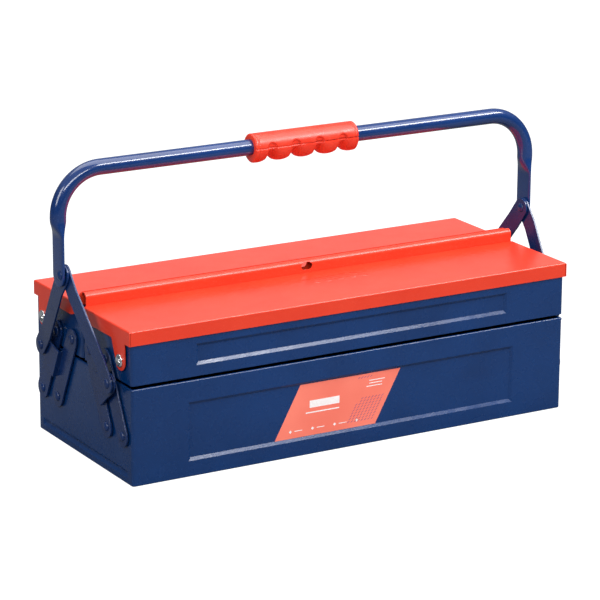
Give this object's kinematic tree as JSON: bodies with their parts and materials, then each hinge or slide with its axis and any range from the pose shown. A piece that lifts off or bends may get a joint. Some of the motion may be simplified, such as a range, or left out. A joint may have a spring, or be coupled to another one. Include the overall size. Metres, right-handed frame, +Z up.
{
  "type": "cantilever toolbox",
  "caption": "Metal cantilever toolbox: a deep base, two trays with hinged lids that swing out on links, and a bail handle with a lobed grip.",
  "frame": {"origin": "middle of the base's underside", "axes": "+X to the right end, -Y to the front, +Z up"},
  "size_m": [0.5554, 0.2084, 0.3024],
  "materials": {
    "blue_paint": "fine-textured powder coat",
    "link_paint": "satin powder coat",
    "rivet_paint": "satin paint over rivets",
    "orange_paint": "satin powder coat",
    "handle_paint": "gloss paint",
    "grip": "moulded plastic",
    "label": "printed sticker",
    "chrome": "bright plated"
  },
  "bodies": {
    "base": {"base_shell": "blue_paint", "base_link_rivets": "rivet_paint", "front_label": "label"},
    "front_outer_links": {"front_left_outer_link": "link_paint", "front_right_outer_link": "link_paint"},
    "front_inner_links": {"front_left_inner_link": "link_paint", "front_right_inner_link": "link_paint", "front_arm_rivets": "rivet_paint"},
    "front_tray_body": {"front_tray_floor": "blue_paint", "front_tray_walls": "blue_paint", "front_tray_link_rivets": "rivet_paint", "front_lid_hinge_rivets": "chrome"},
    "front_lid_body": {"front_lid_top": "orange_paint", "front_lid_long_flange": "orange_paint", "front_lid_end_flanges": "orange_paint", "front_lid_lip": "orange_paint"},
    "front_arms": {"front_left_arm": "link_paint", "front_right_arm": "link_paint", "front_arm_studs": "rivet_paint"},
    "rear_outer_links": {"rear_left_outer_link": "link_paint", "rear_right_outer_link": "link_paint"},
    "rear_inner_links": {"rear_left_inner_link": "link_paint", "rear_right_inner_link": "link_paint", "rear_arm_rivets": "rivet_paint"},
    "rear_tray_body": {"rear_tray_floor": "blue_paint", "rear_tray_walls": "blue_paint", "rear_tray_link_rivets": "rivet_paint", "rear_lid_hinge_rivets": "chrome"},
    "rear_lid_body": {"rear_lid_top": "orange_paint", "rear_lid_long_flange": "orange_paint", "rear_lid_end_flanges": "orange_paint", "rear_lid_lip": "orange_paint"},
    "rear_arms": {"rear_left_arm": "link_paint", "rear_right_arm": "link_paint", "rear_arm_studs": "rivet_paint"},
    "handle_pins": {"handle_pivot_pins": "rivet_paint"},
    "handle": {"handle_tube": "handle_paint", "handle_grip": "grip"}
  },
  "joints": [
    {"name": "trays_open", "type": "hinge", "parent": "base", "child": "front_outer_links", "pos_m": [0, -0.087, 0.0472], "axis": [1, 0, 0], "range_deg": [0, 57.5]},
    {"name": "front_inner_link_swing", "type": "hinge", "parent": "base", "child": "front_inner_links", "pos_m": [0, -0.0537, 0.0472], "axis": [1, 0, 0], "range_deg": [0, 57.5]},
    {"name": "front_tray_level", "type": "hinge", "parent": "front_outer_links", "child": "front_tray_body", "pos_m": [0, -0.053, 0.1152], "axis": [1, 0, 0], "range_deg": [-57.5, 0]},
    {"name": "front_arm_swing", "type": "hinge", "parent": "front_inner_links", "child": "front_arms", "pos_m": [0, -0.07266, 0.09715], "axis": [1, 0, 0], "range_deg": [-84.62, 0]},
    {"name": "handle_lift", "type": "slide", "parent": "base", "child": "handle_pins", "axis": [0, 0, 1], "range_m": [-0.0823, 0]},
    {"name": "rear_outer_link_swing", "type": "hinge", "parent": "base", "child": "rear_outer_links", "pos_m": [0, 0.087, 0.0472], "axis": [-1, 0, 0], "range_deg": [0, 57.5]},
    {"name": "rear_inner_link_swing", "type": "hinge", "parent": "base", "child": "rear_inner_links", "pos_m": [0, 0.0537, 0.0472], "axis": [-1, 0, 0], "range_deg": [0, 57.5]},
    {"name": "rear_tray_level", "type": "hinge", "parent": "rear_outer_links", "child": "rear_tray_body", "pos_m": [0, 0.053, 0.1152], "axis": [-1, 0, 0], "range_deg": [-57.5, 0]},
    {"name": "rear_arm_swing", "type": "hinge", "parent": "rear_inner_links", "child": "rear_arms", "pos_m": [0, 0.07266, 0.09715], "axis": [-1, 0, 0], "range_deg": [-84.62, 0]},
    {"name": "front_lid_hinge", "type": "hinge", "parent": "front_tray_body", "child": "front_lid_body", "pos_m": [0, -0.084, 0.122], "axis": [1, 0, 0], "range_deg": [0, 85]},
    {"name": "rear_lid_hinge", "type": "hinge", "parent": "rear_tray_body", "child": "rear_lid_body", "pos_m": [0, 0.084, 0.122], "axis": [-1, 0, 0], "range_deg": [0, 85]},
    {"name": "handle_swing", "type": "hinge", "parent": "handle_pins", "child": "handle", "pos_m": [0, 0, 0.18785], "axis": [1, 0, 0], "range_deg": [-37.5, 37.5]}
  ],
  "couplings": [
    {"joint": "front_inner_link_swing", "follows": "trays_open", "ratio": 1},
    {"joint": "front_tray_level", "follows": "trays_open", "ratio": -1},
    {"joint": "front_arm_swing", "follows": "trays_open", "ratio": -1.4716},
    {"joint": "handle_lift", "follows": "trays_open", "m_per_rad": -0.081909},
    {"joint": "rear_outer_link_swing", "follows": "trays_open", "ratio": 1},
    {"joint": "rear_inner_link_swing", "follows": "trays_open", "ratio": 1},
    {"joint": "rear_tray_level", "follows": "trays_open", "ratio": -1},
    {"joint": "rear_arm_swing", "follows": "trays_open", "ratio": -1.4716}
  ]
}
